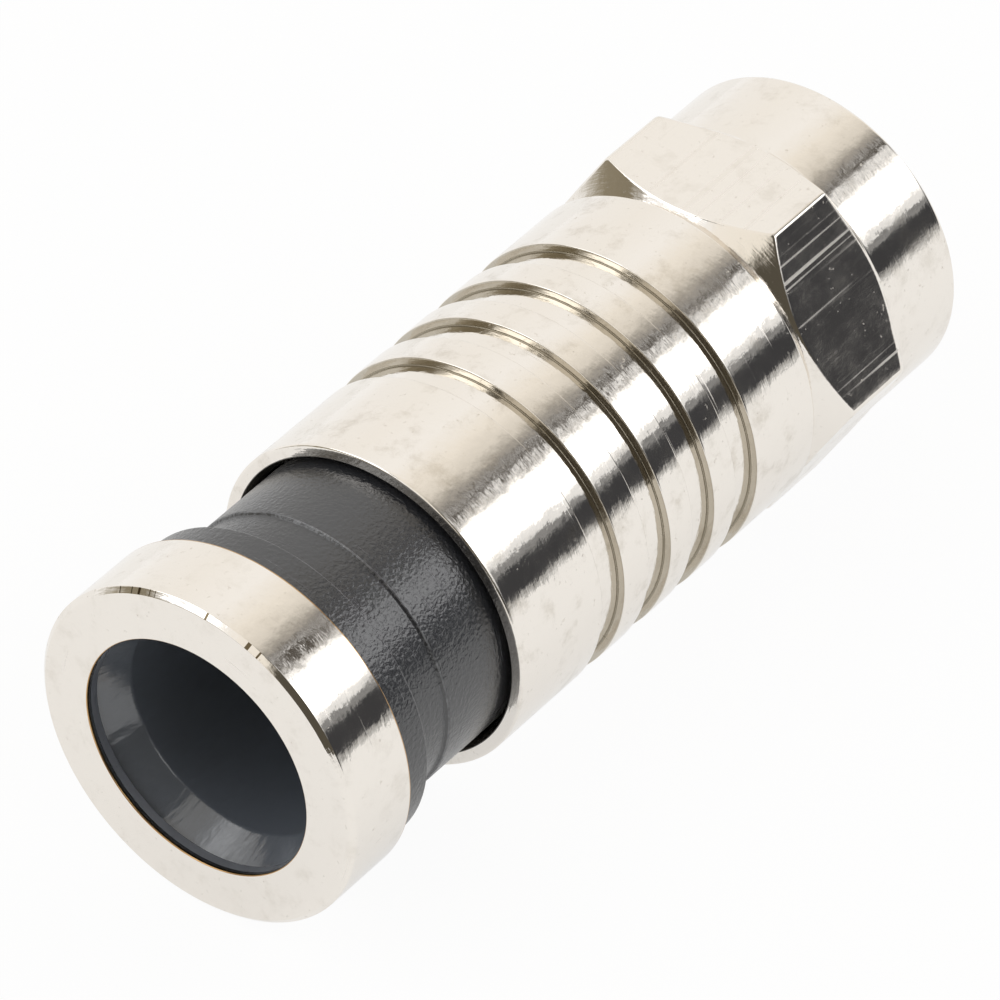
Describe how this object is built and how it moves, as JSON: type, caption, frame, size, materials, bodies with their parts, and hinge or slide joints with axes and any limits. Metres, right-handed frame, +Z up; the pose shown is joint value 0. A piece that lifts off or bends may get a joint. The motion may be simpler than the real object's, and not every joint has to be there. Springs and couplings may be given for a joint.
{
  "type": "coaxial compression connector",
  "caption": "Compression F connector for coaxial cable, with a turning hex nut, grooved metal shell, black sliding sleeve and metal end ring.",
  "frame": {"origin": "centre of the bounding box on the floor under the connector, which lies on its side", "axes": "+X along the connector axis towards the nut, +Z up, one flat of the nut down"},
  "size_m": [0.0312, 0.0128, 0.0117],
  "materials": {
    "nut_nickel": "bright nickel plate on turned brass",
    "body_nickel": "bright nickel plate on turned brass",
    "post_nickel": "nickel plate on turned brass",
    "ring_nickel": "nickel plate on turned brass",
    "sleeve_black": "satin moulded plastic",
    "seal_black": "matt rubber"
  },
  "bodies": {
    "shell": {"connector_body": "body_nickel", "inner_post": "post_nickel", "nut_seal": "seal_black"},
    "nut": {"coupling_nut": "nut_nickel"},
    "sleeve": {"compression_sleeve": "sleeve_black", "compression_ring": "ring_nickel"}
  },
  "joints": [
    {"name": "nut_spin", "type": "hinge", "parent": "shell", "child": "nut", "pos_m": [0.0093, 0, 0.00585], "axis": [1, 0, 0], "continuous": true},
    {"name": "sleeve_slide", "type": "slide", "parent": "shell", "child": "sleeve", "axis": [1, 0, 0], "range_m": [0, 0.00445]}
  ]
}
